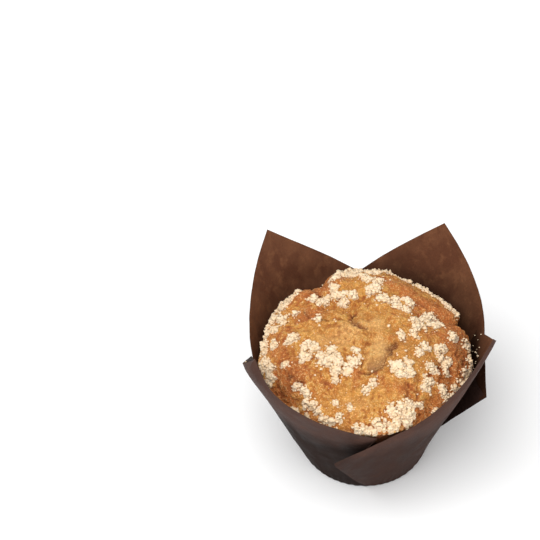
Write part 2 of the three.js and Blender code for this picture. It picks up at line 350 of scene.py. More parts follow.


# %% [markdown]
# ## One petal, and the pleat beside it
#
# A petal is a grid of faces, bent by one function. Across the grid runs the cut edge, from the
# fold of the flap, over the point, to the fold hidden behind the next flap. Where the flap leaves
# the cup it goes straight on, flat, as stiff paper does, and near its point the cut edge rolls in a
# little. Low down, each vertex keeps a number for the finishes to darken the paper by: partly
# butter taken up from the muffin and partly painted shade, with painted shadow on the inside close
# to the crust.

# %% Petals and pleats as functions
def petal_point(petal, x, y, layer):
    reach = math.hypot(x, y)
    turn = math.atan2(y, x)
    leaves = (petal["leaves"] - petal["tip"]) * DEGREE * MEAN_SLOPE
    past = max(0.0, leaves - turn)
    up = reach * math.cos(past) - CONE
    aside = reach * math.sin(past)
    azimuth = petal["leaves"] if past > 0 else petal["tip"] + turn / DEGREE / MEAN_SLOPE
    bends = petal["bends"]
    curl = petal["curl"] * (max(0.0, up / TIP_RISE - bends) / (1 - bends)) ** 2
    apart = layer * LAYER_STEP * smooth(up / LAYERS_PART_OVER)
    outward = polar(wall_radius(azimuth, up) - curl + apart, azimuth, wall_height(azimuth, up))
    return outward + polar(aside, azimuth - 90, 0)


def petal_sheet(index, across, up):
    petal = PETALS[index]
    tip_share = petal["outer"] / (petal["outer"] + petal["inner"])
    side = -1 if across < 0.5 else 1
    share = abs(across - 0.5) * 2
    length = share * (petal["outer"] if side < 0 else petal["inner"])
    angle = (45 - petal["turn"] * side) * DEGREE
    sag = 0 if side < 0 else petal["sag"] * share ** SAG_STEEPNESS
    top_x = CONE + TIP_RISE + petal["rise"] - sag - length * math.cos(angle)
    top_y = side * length * math.sin(angle)
    around = tip_share * (1 - share) if side < 0 else mix(tip_share, 1, share)
    azimuth = FIRST_PLEAT + 90 * (index + around)
    turn = (azimuth - petal["tip"]) * DEGREE * MEAN_SLOPE
    foot_x = CONE * math.cos(turn)
    foot_y = CONE * math.sin(turn)
    layer = mix(1, -1, smooth(around))
    foot = petal_point(petal, foot_x, foot_y, layer)
    point = petal_point(petal, mix(foot_x, top_x, up), mix(foot_y, top_y, up), layer)
    from_edge = (1 - up) * math.hypot(top_x - foot_x, top_y - foot_y)
    rolled = 1 - smooth(share / petal["rolled"][0 if side < 0 else 1])
    roll = petal["rolls"] * rolled * (1 - clamp(from_edge / ROLL_WIDTH)) ** 2
    point -= polar(roll, math.atan2(point.y, point.x) / DEGREE, 0)
    return point + (polar(BASE_RADIUS, azimuth, WALL_START) - foot) * (1 - up) ** 3


def pleat_sheet(index, across, up):
    dipped = up * (1 - PLEAT_DIP * 4 * across * (1 - across))
    outer = petal_sheet(index, 0, dipped)
    inner = petal_sheet((index + len(PETALS) - 1) % len(PETALS), 1, dipped)
    return outer.lerp(inner, across)


print("heights of the points", [round(petal_sheet(index, 0.5, 1).z, 1) for index in range(4)])


# %% Bend grids into the eight stretches of the wall
PETAL_GRID = (120, 72)
PLEAT_GRID = (12, 72)
# How much each petal is darkened outside, inside and close to the crust: outside and inside partly
# by butter and partly as painted shade, close to the crust as painted shadow; and the heights, in
# millimetres, from which each shows and over which it fades in
BUTTER_AND_SHADE = ((0.7, 0.75, 0.6), (0.8, 0.5, 0.4), (1.0, 0.28, 0), (1.15, 0.6, 0))
BUTTER_AND_SHADE_OUTSIDE = (47, 12)
BUTTER_AND_SHADE_INSIDE = (66, 17)
PAINTED_SHADOW_CLOSE = (55, 8)
DARKENING_WANDER = 4
DARKENING_WANDER_SIZE = 12


def bent_grid(name, surface, index, cuts, petal_butter_and_shade):
    grid = added_grid(name, *cuts)
    outside, inside = [], []
    for vertex in grid.data.vertices:
        across = clamp((vertex.co.x + 1) / 2)
        up = clamp((vertex.co.y + 1) / 2)
        vertex.co = surface(index, across, up)
        # Darker low down, partly butter and partly painted shade, and painted shadow inside close
        # to the crust
        uneven = vertex.co.z + DARKENING_WANDER * unevenness(*vertex.co, DARKENING_WANDER_SIZE, 2)
        outside.append(petal_butter_and_shade[0] * smooth((BUTTER_AND_SHADE_OUTSIDE[0] - uneven) / BUTTER_AND_SHADE_OUTSIDE[1]))
        close = petal_butter_and_shade[2] * smooth((PAINTED_SHADOW_CLOSE[0] - uneven) / PAINTED_SHADOW_CLOSE[1])
        inside.append(close + petal_butter_and_shade[1] * smooth((BUTTER_AND_SHADE_INSIDE[0] - uneven) / BUTTER_AND_SHADE_INSIDE[1]))
    store(grid, "butter_and_shade_outside", outside)
    store(grid, "butter_and_shade_inside", inside)
    return grid


stretches = []
for index, petal_butter_and_shade in enumerate(BUTTER_AND_SHADE):
    stretches.append(bent_grid("petal", petal_sheet, index, PETAL_GRID, petal_butter_and_shade))
    stretches.append(bent_grid("pleat", pleat_sheet, index, PLEAT_GRID, petal_butter_and_shade))
print("stretches of paper", len(stretches))


# %% [markdown]
# ## One sheet
#
# The eight stretches are joined and their shared folds welded, because the real case is one sheet
# and light must not leak through a seam. The wall's foot is one ring of edges: it is extruded
# inwards, round a small bend, to make the flat base.

# %% Join, weld and close the base
WELD = 0.02
ON_FOOT = 0.01
# Radius and height of each ring of the bend and the base
BASE_RINGS = (
    (24.75, 0.62), (24.2, 0.3), (23.4, 0.14), (22.2, 0.1), (17, 0.1), (11, 0.1), (5, 0.1),
)

deselect_all()
for each in stretches:
    each.select_set(True)
bpy.context.view_layer.objects.active = stretches[0]
bpy.ops.object.join()
paper = bpy.context.object
paper.name = "folded_paper"
make_active(paper)
bpy.ops.object.mode_set(mode="EDIT")
bpy.ops.mesh.select_all(action="SELECT")
bpy.ops.mesh.remove_doubles(threshold=WELD)
bpy.ops.mesh.select_all(action="DESELECT")
bpy.ops.object.mode_set(mode="OBJECT")


def on_foot(point):
    near_circle = abs(math.hypot(point.x, point.y) - BASE_RADIUS) < ON_FOOT
    return near_circle and abs(point.z - WALL_START) < ON_FOOT


for edge in paper.data.edges:
    edge.select = all(on_foot(paper.data.vertices[i].co) for i in edge.vertices)
bpy.ops.object.mode_set(mode="EDIT")
bpy.ops.mesh.select_mode(type="EDGE")
ring_radius, ring_height = BASE_RADIUS, WALL_START
for radius, height in BASE_RINGS:
    move = {"value": (0, 0, height - ring_height)}
    bpy.ops.mesh.extrude_region_move(TRANSFORM_OT_translate=move)
    bpy.ops.transform.resize(value=(radius / ring_radius, radius / ring_radius, 1),
                             center_override=(0, 0, height))
    ring_radius, ring_height = radius, height
bpy.ops.mesh.edge_face_add()
bpy.ops.mesh.select_all(action="SELECT")
bpy.ops.mesh.remove_doubles(threshold=WELD)
bpy.ops.mesh.normals_make_consistent(inside=False)
bpy.ops.object.mode_set(mode="OBJECT")
print("sheet", len(paper.data.vertices), "vertices")

# %% [markdown]
# ## The paper's own unevenness
#
# Baking paper is never quite true: the free points sway a little, the wall ripples where it was
# pressed, and short creases stand round the base. Every layer of a pleat gets the same push
# outwards at the same place, so the layers stay clear of each other.

# %% Ripple the sheet
CASE_HEIGHT = 75
SWAY = 0.55
SWAY_SIZE = 30
RIPPLE = 0.12
RIPPLE_SIZE = 6
# Creases pressed round the base: how deep, how many, and the height round which they stand
PRESSED_CREASE = 0.16
PRESSED_CREASES = 52
PRESSED_HEIGHT = 2
PRESSED_REACH = 5
RIGID_BASE = BASE_RADIUS - 2
PAPER = 0.16
FOLD_ANGLE = math.radians(35)


def paper_push(point):
    azimuth = math.atan2(point.y, point.x)
    height = clamp(point.z / CASE_HEIGHT)
    sway = SWAY * height * unevenness(*point, SWAY_SIZE)
    ripple = RIPPLE * smooth(height * 4) * unevenness(*point, RIPPLE_SIZE, 3)
    wave = math.cos(PRESSED_CREASES * azimuth + 3 * unevenness(point.x, point.y, 0, 14))
    near_base = bump(point.z - PRESSED_HEIGHT, PRESSED_REACH)
    pressed = PRESSED_CREASE * wave * near_base * smooth(point.z)
    return sway + ripple + pressed


for vertex in paper.data.vertices:
    across = Vector((vertex.co.x, vertex.co.y, 0))
    if across.length > RIGID_BASE:
        vertex.co += across.normalized() * paper_push(vertex.co)

for _ in ("outside", "inside", "edge"):
    paper.data.materials.append(None)
apply_modifier(paper, "SOLIDIFY", thickness=PAPER, offset=0, material_offset=1,
               material_offset_rim=2, use_quality_normals=True)
paper.data.transform(Matrix.Scale(MM, 4))
make_active(paper)
bpy.ops.object.shade_smooth_by_angle(angle=FOLD_ANGLE)
print("paper", triangles(paper), "triangles")

# %% [markdown]
# ## The muffin
#
# Batter fills the cup and rises over it. A flattened sphere would crowd its faces at the pole, just
# where the crust is seen best. So the crust starts as a flat square grid, rounded to a disc so that
# its faces stay even in size right to the middle, and lifted into a dome. Its rim is then extruded
# down the inside of the cup to make the side, and closed underneath.

# %% Dimensions of the muffin, in millimetres
MUFFIN_GAP = 1.6
MUFFIN_FLOOR = 1.1
CRUST_RADIUS = 42.5
RIM_HEIGHT = 50.5
RIM_OVERHANG = 1.6
DOME_RISE = 15
DOME_ROUND = 2.4
DOME_SHOULDER = 0.72
# Where each lump of the dome stands, how far it reaches each way and its height
LUMPS = (
    (-3, 26, 12, 8, 3.6), (-20, 32, 6, 6, -3.0), (-4, -8, 12, 10, 1.8), (17, -2, 9, 8, 1.2),
    (-24, 4, 9, 11, 1.0),
)
# The azimuth of each dent in the rim, its half width in degrees and its depth
RIM_DENTS = (
    (3, 13, 3.4), (18.5, 6, 6.4), (33, 9, 1.2), (52, 16, 3.0), (121, 8, 5.5), (160, 28, 2.2),
)
# Low swells run across the dome, each shorter than the last and turned from it
SWELLS = 7
GOLDEN_TURN = 137.5
LONGEST_SWELL = 34
SWELL_SHRINKS = 0.78
SWELL_STEEPNESS = 0.022
print("lumps", len(LUMPS), "dents in the rim", len(RIM_DENTS))


# %% The crust's form
def rim_radius(azimuth):
    radius = min(CRUST_RADIUS, cup_radius(azimuth, RIM_HEIGHT) - MUFFIN_GAP)
    for at_azimuth, half_width, depth in RIM_DENTS:
        away = (azimuth - at_azimuth + 540) % 360 - 180
        radius -= depth * bump(away, half_width)
    return radius


def crust_swell(x, y):
    z = 0.0
    for wave in range(SWELLS):
        turn = wave * GOLDEN_TURN * DEGREE
        length = LONGEST_SWELL * SWELL_SHRINKS ** wave
        along = x * math.cos(turn) + y * math.sin(turn)
        z += length * SWELL_STEEPNESS * math.sin(2 * math.pi * along / length + wave)
    return z


def crust_height(x, y):
    azimuth = math.atan2(y, x) / DEGREE
    share = min(1.0, math.hypot(x, y) / rim_radius(azimuth))
    z = RIM_HEIGHT + DOME_RISE * (1 - share ** DOME_ROUND) ** DOME_SHOULDER
    for at_x, at_y, reach_x, reach_y, height in LUMPS:
        z += height * bump(x - at_x, reach_x) * bump(y - at_y, reach_y)
    return z + crust_swell(x, y) * smooth((1 - share) * 6)


print("top of the dome", round(crust_height(0, 0), 1), "mm")


# %% Lift a rounded grid into the dome
CRUST_GRID = 280


def rounded_square(a, b):
    """A point of the square from -1 to 1, moved to the disc of radius 1: angle and radius."""
    if a == 0 and b == 0:
        return 0.0, 0.0
    if abs(a) > abs(b):
        return (math.pi / 4) * (b / a) + (math.pi if a < 0 else 0), abs(a)
    return math.pi / 2 - (math.pi / 4) * (a / b) + (math.pi if b < 0 else 0), abs(b)


crust = added_grid("crumbly_crust", CRUST_GRID, CRUST_GRID)
for vertex in crust.data.vertices:
    turn, out = rounded_square(vertex.co.x, vertex.co.y)
    radius = math.sin(math.pi / 2 * min(1.0, out)) * rim_radius(turn / DEGREE)
    x = radius * math.cos(turn)
    y = radius * math.sin(turn)
    vertex.co = (x, y, crust_height(x, y))
print("crust", len(crust.data.vertices), "vertices")

# %% Extrude the side down the cup and close it
SIDE_HEIGHTS = (
    49.6, 48.4, 46.8, 45, 43, 40.5, 37.5, 34, 30, 25.5, 20.5, 15, 9.5, 5.5, 3.5, 1.9, 1.1,
)
BOTTOM_BEND = 3.4
STRAIGHT_ABOVE = 3.5
OVERHANG_ENDS = 4

make_active(crust)
bpy.ops.object.mode_set(mode="EDIT")
bpy.ops.mesh.select_all(action="SELECT")
bpy.ops.mesh.region_to_loop()
for height in SIDE_HEIGHTS:
    bpy.ops.mesh.extrude_region_move(TRANSFORM_OT_translate={"value": (0, 0, -200)})
    bpy.ops.object.mode_set(mode="OBJECT")
    for vertex in crust.data.vertices:
        if vertex.select:
            azimuth = math.atan2(vertex.co.y, vertex.co.x) / DEGREE
            bend = BOTTOM_BEND * (1 - clamp((height - MUFFIN_FLOOR) / BOTTOM_BEND)) ** 2
            inside = cup_radius(azimuth, max(height, STRAIGHT_ABOVE)) - MUFFIN_GAP - bend
            overhang = RIM_OVERHANG * smooth((RIM_HEIGHT - 1 - height) / OVERHANG_ENDS)
            vertex.co = polar(min(rim_radius(azimuth) - overhang, inside), azimuth, height)
    bpy.ops.object.mode_set(mode="EDIT")
bpy.ops.mesh.edge_face_add()
bpy.ops.mesh.select_all(action="SELECT")
bpy.ops.mesh.normals_make_consistent(inside=False)
bpy.ops.object.mode_set(mode="OBJECT")
print("muffin", triangles(crust), "triangles")

# %% [markdown]
# ## Where the crumble lies
#
# Crumble is butter, sugar and flour rubbed into grains. It falls in heaps: grains cling to their
# neighbours, so a heap grows outwards in short arms. A particle system would scatter the grains
# evenly, so each heap is grown here grain by grain, every grain one step from an earlier one. The
# places in plan are drawn first, because the crust is pale and a little raised under every heap.

# %% Grow the heaps in plan
# Each heap: the width of its lumps, then where they lie, in millimetres
HEAPS = (
    (4.2, (-10, 36), (-9, 31), (-6, 34), (-3, 34), (4, 32), (1, 30)),
    (5.4, (-2, 28), (0, 25), (4, 24), (-5, 30)),
    (4.6, (-13, 21), (-15, 17), (-10, 17), (-6, 17), (-9, 13), (-17, 14), (-12, 18)),
    (4.6, (-21, 16), (-12, 27)),
    (3.6, (-28, 21), (-31, 18), (-32, 15), (-35, 13), (-33, 10), (-36, 8), (-35, 5)),
    (2.4, (-28, 11), (-31, 7), (-19, 4)),
    (5.4, (-29, -4), (-35, -2)),
    (4.6, (-23, -7), (-25, -10), (-21, -9), (-24, -12)),
    (5.8, (-14, -12), (-16, -16), (-12, -16), (-8, -17), (-9, -20), (-13, -20)),
    (3.4, (-6, -12), (-31, -14), (-18, -14), (-14, -22)),
    (4.2, (-39, -8), (-37, -12), (-38, -15)),
    (5.4, (2, 18), (5, 15), (3, 20), (6, 13), (10, 15), (10, 10), (14, 13), (14, 9)),
    (4.2, (16, 4), (17, 0), (16, -3), (19, 1), (20, 5)),
    (5.2, (22, 5), (21, 8), (24, 9), (27, 6), (24, 3)),
    (4.4, (11, -5), (31, -1), (18, -11), (21, -9)),
    (5.2, (26, -10), (25, -7), (28, -13), (23, -16)),
    (2.6, (28, -17), (38, 1), (37, -2), (37, -6), (38, -10), (37, -14), (36, -18)),
    (5.4, (11, -19), (8, -19), (14, -17), (10, -21), (14, -21)),
    (3.8, (-3, -27), (20, -24)),
    (2.6, (17, -30), (27, -26)),
    (4.4, (21, -21), (26, -24)),
    (3.2, (-27, -24), (-25, -26), (-23, -28), (-21, -30), (-24, -30), (-19, -33)),
    (4.6, (2, -38), (7, -34), (9, -36), (10, -33), (13, -32), (12, -35)),
    (2.6, (-12, -36), (-17, -35), (-13, -30), (-8, -32), (24, -31), (0, -25), (14, -31)),
)
# Chains of crumble round the rim: from and to azimuth, distance out as a share, width and spacing
CHAINS = (
    (27, 58, 0.965, 2.3, 1.2), (56, 84, 0.97, 2.4, 1.4), (84, 106, 0.93, 2.8, 2.2),
    (128, 186, 0.975, 1.8, 1.6), (186, 208, 0.965, 2.6, 2.4), (-42, 4, 0.975, 1.5, 4.0),
    (-136, -108, 0.97, 1.6, 3.2), (-100, -78, 0.975, 1.8, 1.8),
)
CHAIN_RING = 42
CHAIN_WANDER = (-0.03, 0.02)
CHAIN_WIDTHS = (0.6, 1.25)
HEAP_SHIFT = 0.7
HEAP_WIDTHS = (0.78, 1.04)
GRAIN_STEP = (0.7, 1.3)
GRAINS_TO_AREA = 1.15
FEWEST_GRAINS = 4
TRIES_FOR_A_GRAIN = 60
# How far a heap's arms reach past its width, and how many of them fit round it
ARMS = 1.3
ARM_WAVES = 2.4
# Small grains round a heap for each millimetre of its width, and how far from a grain they lie
EDGE_GRAINS = 3
EDGE_DISTANCE = 1.3
CRUST_EDGE = 0.985
draw = random.Random(77)
grain_places = []
edge_grains = []


def stay_on_crust(x, y):
    azimuth = math.atan2(y, x) / DEGREE
    share = math.hypot(x, y) / rim_radius(azimuth)
    keep = CRUST_EDGE / max(CRUST_EDGE, share)
    return x * keep, y * keep


def grow_heap(x, y, width):
    """Places of grains, each one step from a neighbour, and how near to the heap's middle."""
    wanted = max(FEWEST_GRAINS, round(math.pi / 4 * width * width * GRAINS_TO_AREA))
    places = [(x, y)]
    tries = 0
    while len(places) < wanted and tries < TRIES_FOR_A_GRAIN * wanted:
        tries += 1
        px, py = draw.choice(places)
        turn = draw.uniform(0, 2 * math.pi)
        step = draw.uniform(*GRAIN_STEP)
        nx = px + step * math.cos(turn)
        ny = py + step * math.sin(turn)
        away = math.atan2(ny - y, nx - x)
        arm_x = ARM_WAVES * math.cos(away) + x
        arm_y = ARM_WAVES * math.sin(away) + y
        lobes = unevenness(arm_x, arm_y, 0, 1)
        if math.hypot(nx - x, ny - y) < width / 2 * (1 + ARMS * lobes):
            places.append((nx, ny))
    for px, py in places:
        middle = 1 - clamp(math.hypot(px - x, py - y) / (width / 2))
        grain_places.append((*stay_on_crust(px, py), middle))
    for _ in range(round(EDGE_GRAINS * width)):
        px, py = draw.choice(places)
        turn = draw.uniform(0, 2 * math.pi)
        px += EDGE_DISTANCE * math.cos(turn)
        py += EDGE_DISTANCE * math.sin(turn)
        edge_grains.append(stay_on_crust(px, py))


for width, *spots in HEAPS:
    for x, y in spots:
        shift = polar(draw.uniform(0, HEAP_SHIFT), draw.uniform(0, 360), 0)
        grow_heap(x + shift.x, y + shift.y, width * draw.uniform(*HEAP_WIDTHS))
for start, stop, share, width, spacing in CHAINS:
    steps = round((stop - start) * DEGREE * CHAIN_RING * share / spacing)
    for step in range(steps):
        azimuth = mix(start, stop, (step + draw.random()) / steps)
        out = rim_radius(azimuth) * (share + draw.uniform(*CHAIN_WANDER))
        spot = polar(out, azimuth, 0)
        grow_heap(spot.x, spot.y, width * draw.uniform(*CHAIN_WIDTHS))

heaped = kdtree.KDTree(len(grain_places))
for number, (x, y, _) in enumerate(grain_places):
    heaped.insert((x, y, 0), number)
heaped.balance()
print("grains in heaps", len(grain_places))

# %% [markdown]
# ## Cracks, pits and crumb
#
# The crust sets while the batter below still rises, so it tears: short curved cracks, a deep
# valley beside the last lump to rise, and a smooth pale slab where fresh batter came through.
# All of it is rough, like rounded crumbs baked together. Bump in the material alone would leave
# the outline smooth, so each vertex is pushed along its own normal by the sum of these, and the
# parts of that sum are kept as attributes for the colours.

# %% Where the crust tore
# Each crack: its half width and depth, then its route in plan
CRACKS = (
    (0.7, 1.6, (-5.2, 7.5), (-7.2, 3.5), (-6.4, 0.4), (-4.1, -0.8), (-1.6, -1.6)),
    (0.7, 1.3, (-24.3, 10.8), (-23, 6.6), (-20.5, 4.7), (-15, 4.6)),
    (0.8, 0.8, (-15, 4.6), (-10.5, 4.4), (-7.2, 3.5)),
    (0.6, 0.8, (-1.4, -2.5), (-1.0, -8.2), (-1.6, -12.6), (-3.2, -17.3), (-4.6, -22)),
    (0.6, 1.7, (9.4, -7.6), (7.2, -12.7), (4.8, -16.2), (2, -19.9), (-2, -21.6)),
    (0.7, 0.9, (0.9, -27.6), (0.4, -30), (0.9, -32.4)),
    (1.1, 1.4, (-30.2, -18.6), (-28.4, -20.8), (-26.4, -22.4)),
    (0.8, 0.7, (-36.5, -1.5), (-32.2, -7.4), (-28.6, -9.6)),
    (0.9, 1.2, (33.8, 9.8), (29.6, 8.9), (25.5, 11)),
    (1.0, 1.3, (24.3, -15), (27.2, -13.4)),
    (1.2, 1.2, (-17.5, 18.2), (-19.5, 20.6), (-22.4, 26.5)),
    (0.6, 0.6, (-9.5, -28.8), (-6.5, -29.8), (-3, -29.2)),
    (0.7, 0.7, (12, 1.5), (14.5, 0), (18.5, 1)),
    (0.6, 0.4, (0.8, -4), (1.8, -8.5), (1, -13), (-0.5, -17)),
    (2.0, 1.3, (7.5, -10), (5, -15), (1, -19)),
    (1.5, 0.7, (-1.2, -3), (-1, -9), (-2, -14)),
    (0.6, 0.4, (5.5, -4.5), (5, -9.5), (3, -14)),
)
# A crack wanders off its route and opens and closes along it. WALL and SLOPE are the shares of
# its depth in its steep wall and in the slope beside it
CRACK_WANDER = 1.2
CRACK_WANDER_SIZE = 2.2
CRACK_OPEN = 0.95
CRACK_OPENS = 0.7
CRACK_OPENS_SIZE = 4
CRACK_REACH = 12
WALL = 0.4
SLOPE = 0.8
SLOPE_WIDTH = 2.4
SLAB = dict(at=(2.0, -13), across=(3.4, 8), turn=-18, height=0.25)
SLAB_FADES = 0.6
print("cracks", len(CRACKS))


def route_distance(x, y, route):
    best = 1e9
    for (x0, y0), (x1, y1) in zip(route, route[1:]):
        dx, dy = x1 - x0, y1 - y0
        share = clamp(((x - x0) * dx + (y - y0) * dy) / (dx * dx + dy * dy))
        best = min(best, math.hypot(x - x0 - share * dx, y - y0 - share * dy))
    return best


def crack_depth(x, y):
    wander_x = x + CRACK_WANDER * unevenness(x, y, 7, CRACK_WANDER_SIZE)
    wander_y = y + CRACK_WANDER * unevenness(x, y, 31, CRACK_WANDER_SIZE)
    open_share = CRACK_OPEN + CRACK_OPENS * unevenness(x, y, 57, CRACK_OPENS_SIZE)
    deepest = 0.0
    for width, depth, *route in CRACKS:
        far = route_distance(wander_x, wander_y, route)
        if far < CRACK_REACH * width:
            wall = WALL * bump(far, width)
            slope = SLOPE * math.exp(-far / (SLOPE_WIDTH * width))
            deepest = max(deepest, depth * (wall + slope) * open_share)
    return deepest


def slab_share(x, y):
    turn = SLAB["turn"] * DEGREE
    dx = x - SLAB["at"][0]
    dy = y - SLAB["at"][1]
    along = dx * math.cos(turn) + dy * math.sin(turn)
    aside = dy * math.cos(turn) - dx * math.sin(turn)
    far = math.hypot(along / SLAB["across"][0], aside / SLAB["across"][1])
    return 1 - smooth((far - SLAB_FADES) / SLAB_FADES)


# %% Where the oven browned the crust
# Each place, its reach and how brown it is; below zero is paler than the rest
TOASTED_PLACES = (
    (-19, 9, 5, 0.9), (-25, 19, 5, 0.8), (-19, 22, 4, 0.9), (-14, 28, 5, 1.0), (-15, 24, 4, 0.8),
    (-23, 7, 3, 0.9), (-18, 0, 3, 0.5), (-31, 1, 5, 0.5), (-32, -8, 5, 0.5), (-31, -17, 6, 0.8),
    (-27, -20, 5, 0.8), (21, 14, 5, 0.9), (26, 13, 5, 0.9), (31, 10, 5, 1.0), (11, 3, 4, 0.6),
    (24, -2, 5, 0.5), (34, 2, 5, 1.0), (33, -4, 5, 1.0), (32, -11, 5, 1.0), (32, -19, 6, 1.0),
    (25, -18, 4, 0.7), (8, 24, 5, 0.5), (14, 20, 5, 0.6), (29, -27, 5, 0.8), (18, -35, 5, 0.6),
    (-4, -19, 3, 0.6), (-6, -24, 3, 0.7), (-8, 5, 3, 0.7), (-1, -5, 2.5, 0.6), (-1.5, -10, 2, 0.6),
    (8, -5, 3, 0.8), (-26, -4, 4, 0.5), (2, -23, 3, 0.5), (-15, -26, 5, 0.4), (12, -27, 5, 0.5),
    (-9, -4, 9, -0.9), (3, 0, 5, -0.6), (6, -10, 4, -0.7), (-22, -2, 6, -0.4), (-6, -32, 9, -0.5),
)
TOAST_WANDER = 2.5
TOAST_WANDER_SIZE = 6


def toasting(x, y):
    wander_x = x + TOAST_WANDER * unevenness(x, y, 11, TOAST_WANDER_SIZE, 2)
    wander_y = y + TOAST_WANDER * unevenness(x, y, 43, TOAST_WANDER_SIZE, 2)
    total = 0.0
    for at_x, at_y, reach, share in TOASTED_PLACES:
        total += share * bump(math.hypot(wander_x - at_x, wander_y - at_y), reach)
    return total


print("toasted and pale places", len(TOASTED_PLACES))


# %% Crumbs baked together, and the room inside the paper
# How far each stands out and its size, both in millimetres
BIG_LUMPS = (1.1, 7)
CRUMBS = ((0.4, 3.0), (0.45, 1.5))
KNOBS = ((0.35, 2.8), (0.4, 1.1))
CRUMBS_SUNK = 0.45
CRUMB_REACH = 0.7
# Rougher and smoother patches, from least to most, and how much smoother the slab is
ROUGH_PATCHES = (0.4, 0.9)
ROUGH_PATCH_SIZE = 12
ROUGH_PATCH_EDGE = 1.6
SLAB_SMOOTHER = 0.3
CLEAR_OF_PAPER = 0.25


def baked_crumbs(x, y, z, size):
    """Rounded crumbs side by side, 1 at the top of each and 0 in the creases between them."""
    nearest = noise.voronoi(Vector((x, y, z)) / size)[0][0]
    return clamp(1 - (nearest / CRUMB_REACH) ** 2)


def fine_relief(x, y, z, slab):
    """How far crumbs and knobs stand out at a place, less where it is part of the slab."""
    patch = smooth(0.5 + unevenness(x, y, z, ROUGH_PATCH_SIZE) * ROUGH_PATCH_EDGE)
    rough = (1 - SLAB_SMOOTHER * slab) * mix(*ROUGH_PATCHES, patch)
    crumbs = sum(height * baked_crumbs(x, y, z, size) for height, size in CRUMBS) - CRUMBS_SUNK
    knobs = sum(height * unevenness(x, y, z, size, 2) for height, size in KNOBS)
    return rough * (crumbs + knobs)


def inside_paper(point):
    """The point, in millimetres, drawn in where the paper leaves no room for it."""
    outward = Vector((point.x, point.y, 0))
    found, wall, _, _ = paper.ray_cast(Vector((0, 0, point.z)) * MM, outward.normalized())
    if not found:
        return point
    room = math.hypot(wall.x, wall.y) / MM - CLEAR_OF_PAPER
    return point - outward.normalized() * max(0.0, outward.length - room)


print("fine relief at one place", round(fine_relief(3, 4, 60, 0), 2), "mm")


# %% Push every vertex of the crust
TOASTED_SWELL = 1.4
HEAP_SWELL = 0.4
HEAP_STARTS = 0.4
HEAP_FADES = 0.6
SIDE_FADES = 2.5
SIDE_RELIEF = 0.35
FLAT_BOTTOM = 6
NEAR_PAPER = 0.9
# The rim is browner than the middle, most of all towards one azimuth
BROWN_STEEPNESS = 7
BROWNEST = -18
RIM_BROWN = (0.45, 0.9)
UNEVEN_BROWN = 0.3

traces = {"torn": [], "fine": [], "rim": [], "slab": [], "side": [], "heap": [], "browned": []}
normals = [vertex.normal.copy() for vertex in crust.data.vertices]
for vertex, normal in zip(crust.data.vertices, normals):
    x, y, z = vertex.co
    azimuth = math.atan2(y, x) / DEGREE
    share = min(1.0, math.hypot(x, y) / rim_radius(azimuth)) if z > RIM_HEIGHT - 1 else 1.0
    on_side = smooth((RIM_HEIGHT - z) / SIDE_FADES)
    slab = slab_share(x, y)
    crack = crack_depth(x, y)
    toasted = toasting(x, y)
    fine = fine_relief(x, y, z, slab)
    lumps = BIG_LUMPS[0] * unevenness(x, y, z, BIG_LUMPS[1], 2) + SLAB["height"] * slab
    push = lumps + TOASTED_SWELL * clamp(toasted) + fine - crack
    near_grain = 1 - smooth((heaped.find((x, y, 0))[2] - HEAP_STARTS) / HEAP_FADES)
    heap = near_grain * (1 - on_side)
    push += HEAP_SWELL * heap
    vertex.co += normal * push * mix(1, SIDE_RELIEF, on_side) * smooth(z / FLAT_BOTTOM)
    if share > NEAR_PAPER:
        vertex.co = inside_paper(vertex.co)
    facing = 0.5 + 0.5 * math.cos((azimuth - BROWNEST) * DEGREE)
    browned = share ** BROWN_STEEPNESS * mix(*RIM_BROWN, facing)
    browned += UNEVEN_BROWN * unevenness(x, y, 3, 9, 2)
    browned += toasted
    traces["torn"].append(crack * (1 - on_side))
    traces["fine"].append(fine)
    traces["rim"].append(share)
    traces["slab"].append(slab)
    traces["side"].append(on_side)
    traces["heap"].append(heap)
    traces["browned"].append(browned)
for name, values in traces.items():
    store(crust, name, values)
crust.data.transform(Matrix.Scale(MM, 4))
make_active(crust)
bpy.ops.object.shade_smooth()

# %% [markdown]
# ## The grains
#
# One grain is modelled in a few variants, each an uneven lump. There are thousands of grains, so
# each has only a few dozen faces. A copy is set on the crust at every place that was drawn, sunk
# in a little, and in the middle of a heap a few stand on the others.

# %% Model the grain in a few variants
VARIANTS = 8
# Cuts round a lump and how uneven it is
GRAIN_LUMP = (6, 0.9)
DUST_LUMP = (4, 0.6)


def lump_variant(number, cuts, jag):
    deselect_all()
    bpy.ops.mesh.primitive_uv_sphere_add(segments=cuts, ring_count=cuts - 1, radius=1)
    lump = bpy.context.object
    for vertex in lump.data.vertices:
        broad = noise.noise(vertex.co * 1.2 + Vector((number * 7.3, 0, 0)))
        small = noise.noise(vertex.co * 2.9 + Vector((0, number * 5.1, 0)))
        vertex.co *= 1 + jag * broad + 0.8 * jag * small
    points = [vertex.co.copy() for vertex in lump.data.vertices]
    faces = [tuple(face.vertices) for face in lump.data.polygons]
    bpy.data.objects.remove(lump)
    return points, faces


grain_variants = [lump_variant(number, *GRAIN_LUMP) for number in range(VARIANTS)]
dust_variants = [lump_variant(number, *DUST_LUMP) for number in range(VARIANTS)]
print("grain faces", len(grain_variants[0][1]), "dust faces", len(dust_variants[0][1]))

# %% Set the grains on the crust
GRAIN_RADII = (0.48, 0.86)
EDGE_RADII = (0.26, 0.5)
# Grains in a heap's middle are larger than at its edge
BIGGER_INSIDE = (0.75, 1.1)
SECOND_LAYER = 0.13
SECOND_SIZE = 0.7
# How far a grain's middle lies above the crust, as a share of its radius
GRAIN_LIFTS = (0.15, 0.6)
SECOND_LIFTS = (0.9, 1.3)
EDGE_LIFTS = (0.1, 0.5)
ABOVE_ALL = 0.1
grains = []


